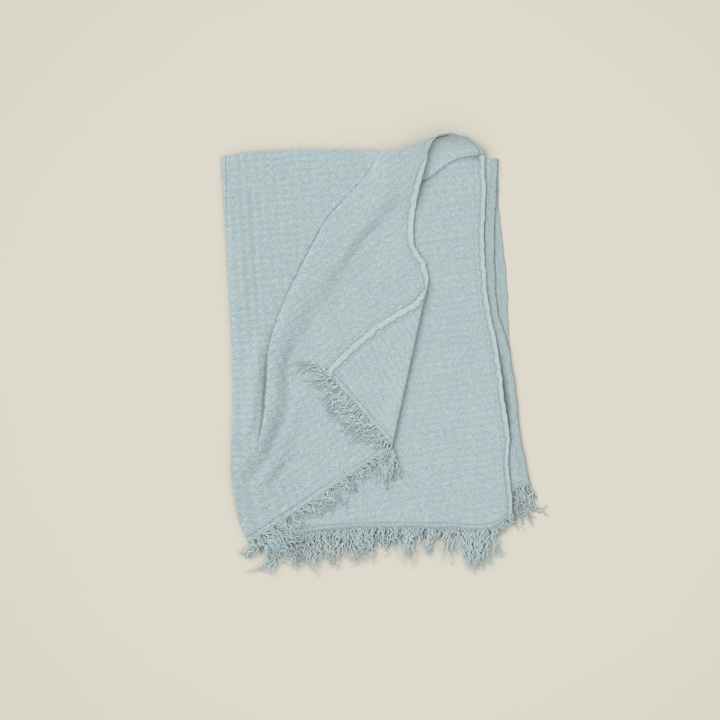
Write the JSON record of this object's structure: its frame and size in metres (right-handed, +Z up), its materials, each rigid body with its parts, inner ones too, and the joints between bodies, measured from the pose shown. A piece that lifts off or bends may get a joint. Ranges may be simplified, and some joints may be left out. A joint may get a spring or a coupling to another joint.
{
  "type": "folded fringed throw blanket",
  "caption": "Light woven throw, folded flat with a free corner turned back and the fold beside it raised open, with a loose fringe of twisted ends along its cut edges.",
  "frame": {"origin": "under the middle of the folded throw's box, on the surface it lies on", "axes": "+Y towards the top fold, away from the fringed edges; +X towards the open hems; +Z up"},
  "size_m": [0.7568, 1.0587, 0.0449],
  "materials": {
    "linen": "matte pale blue crinkled weave",
    "fringe": "matte loose twisted threads"
  },
  "bodies": {
    "root": {"cloth": "linen", "fringe_top": "fringe", "fringe_second": "fringe", "fringe_third": "fringe", "fringe_bottom": "fringe"}
  },
  "joints": []
}
